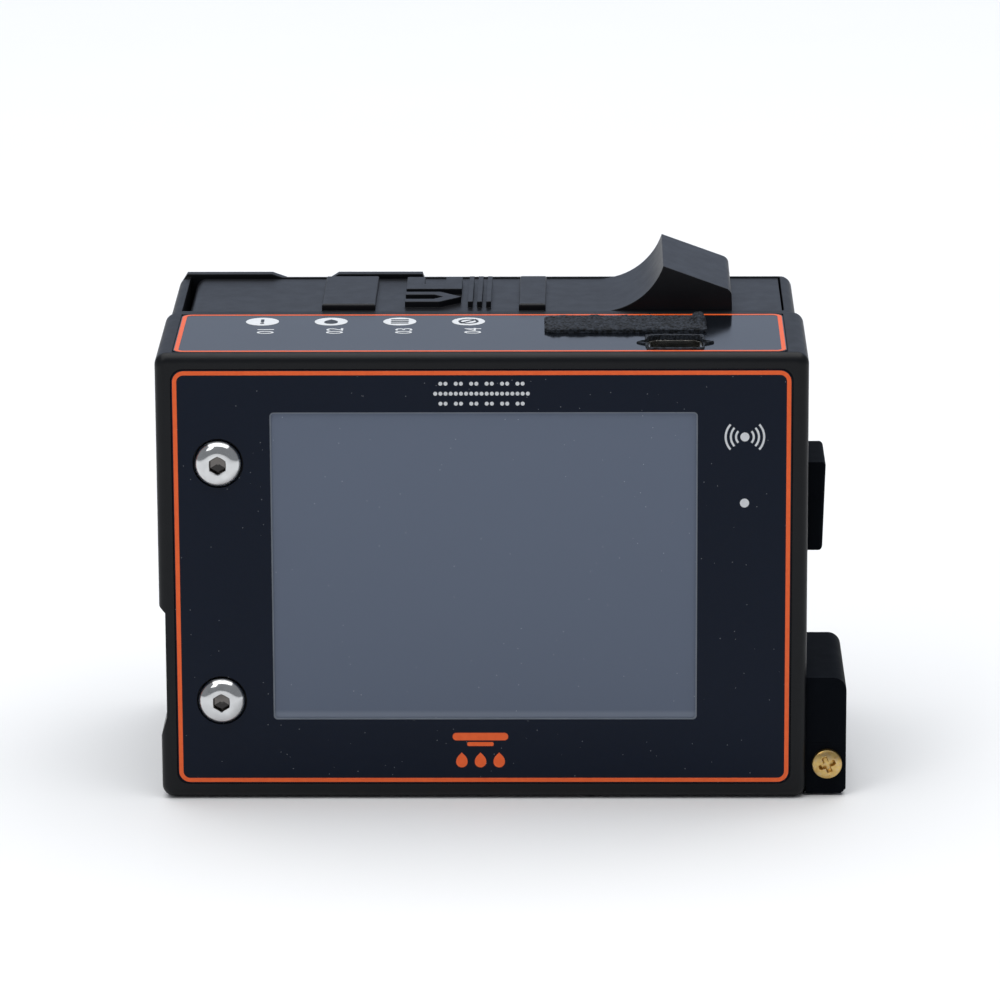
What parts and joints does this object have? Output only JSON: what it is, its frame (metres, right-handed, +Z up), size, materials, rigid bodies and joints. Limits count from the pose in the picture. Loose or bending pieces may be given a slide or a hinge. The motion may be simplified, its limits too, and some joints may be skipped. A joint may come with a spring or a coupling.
{
  "type": "date code inkjet printer",
  "caption": "Compact date coder with a touch display half and a lidded ink cartridge half, printing through its underside.",
  "frame": {"origin": "centre of the housing's bottom face, which is the printing side", "axes": "+X to the right as the operator sees the display, +Y from the display towards the back, +Z up"},
  "size_m": [0.1137, 0.0666, 0.0836],
  "materials": {
    "housing_plastic": "fine spark-eroded texture, black",
    "front_label": "glossy black printed film",
    "top_label": "glossy black printed film",
    "rating_plate": "blank satin foil",
    "touch_screen": "satin anti-glare film over glass",
    "gasket_foam": "closed-cell foam",
    "lcd_glass": "polariser film",
    "sheet_steel": "zinc plated",
    "zinc_screw": "zinc plated",
    "flex_film": "polyimide film",
    "circuit_board": "green solder mask",
    "brass": "turned",
    "chip_epoxy": "moulded epoxy",
    "capacitor_can": "plain can",
    "battery_can": "coin cell",
    "light_pipe": "clear acrylic",
    "led_lens": "clear epoxy",
    "connector_metal": "nickel plated",
    "connector_plastic": "glass-filled nylon, black",
    "cover_rubber": "rough black rubber",
    "switch_plastic": "black nylon",
    "rocker_plastic": "polished black",
    "stainless_screw": "polished stainless",
    "black_screw": "black oxide",
    "sensor_plastic": "black",
    "brass_screw": "yellow zinc plated",
    "sensor_module": "black",
    "sensor_lens": "red filter",
    "cover_plastic": "fine spark-eroded texture, black",
    "nickel": "nickel plated",
    "spring_steel": "bright wire",
    "cartridge_plastic": "moulded",
    "cartridge_cap": "moulded, dark blue",
    "ink_bag": "laminated foil",
    "nozzle_nickel": "electroformed plate",
    "contact_gold": "gold plated",
    "guard_steel": "satin stainless"
  },
  "bodies": {
    "housing": {"front_housing": "housing_plastic", "rear_housing": "housing_plastic", "front_label": "front_label", "top_label": "top_label", "rating_plate": "rating_plate", "touch_panel": "touch_screen", "display_gasket": "gasket_foam", "lcd_panel": "lcd_glass", "lcd_bracket": "sheet_steel", "bracket_screws": "zinc_screw", "display_cable": "flex_film", "main_board": "circuit_board", "board_standoffs": "brass", "board_screws": "zinc_screw", "board_chips": "chip_epoxy", "board_capacitors": "capacitor_can", "clock_battery": "battery_can", "buzzer": "chip_epoxy", "light_pipes": "light_pipe", "status_leds": "led_lens", "indicator_board": "circuit_board", "front_lamp": "led_lens", "io_connector_shell": "connector_metal", "io_connector_body": "connector_plastic", "usb_shell": "connector_metal", "usb_tongue": "connector_plastic", "usb_board": "circuit_board", "dc_jack": "connector_plastic", "dc_jack_pin": "connector_metal", "power_switch_body": "switch_plastic", "mounting_screws": "stainless_screw", "housing_screws": "black_screw", "sensor_housing": "sensor_plastic", "sensor_clamp": "sensor_plastic", "sensor_screw": "brass_screw", "photo_sensor": "sensor_module", "sensor_lens": "sensor_lens", "keeper_plate": "sheet_steel", "cover_hinge_pin": "spring_steel", "contact_block": "connector_plastic", "contact_board": "circuit_board", "contact_cable": "flex_film", "ejector_spring": "spring_steel", "side_spring": "spring_steel", "nozzle_guard": "guard_steel", "guard_screws": "zinc_screw"},
    "cover": {"cartridge_cover": "cover_plastic", "cover_magnet": "nickel"},
    "cartridge": {"cartridge_body": "cartridge_plastic", "cartridge_cap": "cartridge_cap", "ink_bag": "ink_bag", "nozzle_plate": "nozzle_nickel", "cartridge_contacts": "contact_gold"},
    "ejector": {"ejector_plate": "connector_plastic"},
    "contacts": {"contact_pins": "contact_gold"},
    "rocker": {"power_rocker": "rocker_plastic"},
    "port_cover": {"io_port_cover": "cover_rubber"}
  },
  "joints": [
    {"name": "cover_hinge", "type": "hinge", "parent": "housing", "child": "cover", "pos_m": [-0.0481, 0.0143, 0.0741], "axis": [0, -1, 0], "range_deg": [0, 105]},
    {"name": "cartridge_lift", "type": "slide", "parent": "housing", "child": "cartridge", "axis": [0, 0, 1], "range_m": [0, 0.0081]},
    {"name": "ejector_lift", "type": "slide", "parent": "housing", "child": "ejector", "axis": [0, 0, 1], "range_m": [0, 0.0081], "deforming": ["ejector_spring"]},
    {"name": "contact_press", "type": "slide", "parent": "housing", "child": "contacts", "axis": [-1, 0, 0], "range_m": [0, 0.0008], "stiffness_N_per_m": 500},
    {"name": "power_rocker_tilt", "type": "hinge", "parent": "housing", "child": "rocker", "pos_m": [0.0526, -0.0155, 0.0486], "axis": [0, -1, 0], "range_deg": [0, 16]},
    {"name": "port_cover_pull", "type": "slide", "parent": "housing", "child": "port_cover", "axis": [0, 0, 1], "range_m": [0, 0.012]}
  ],
  "couplings": [
    {"joint": "cartridge_lift", "follows": "cover_hinge", "m_per_rad": 0.0044},
    {"joint": "ejector_lift", "follows": "cover_hinge", "m_per_rad": 0.0044}
  ]
}
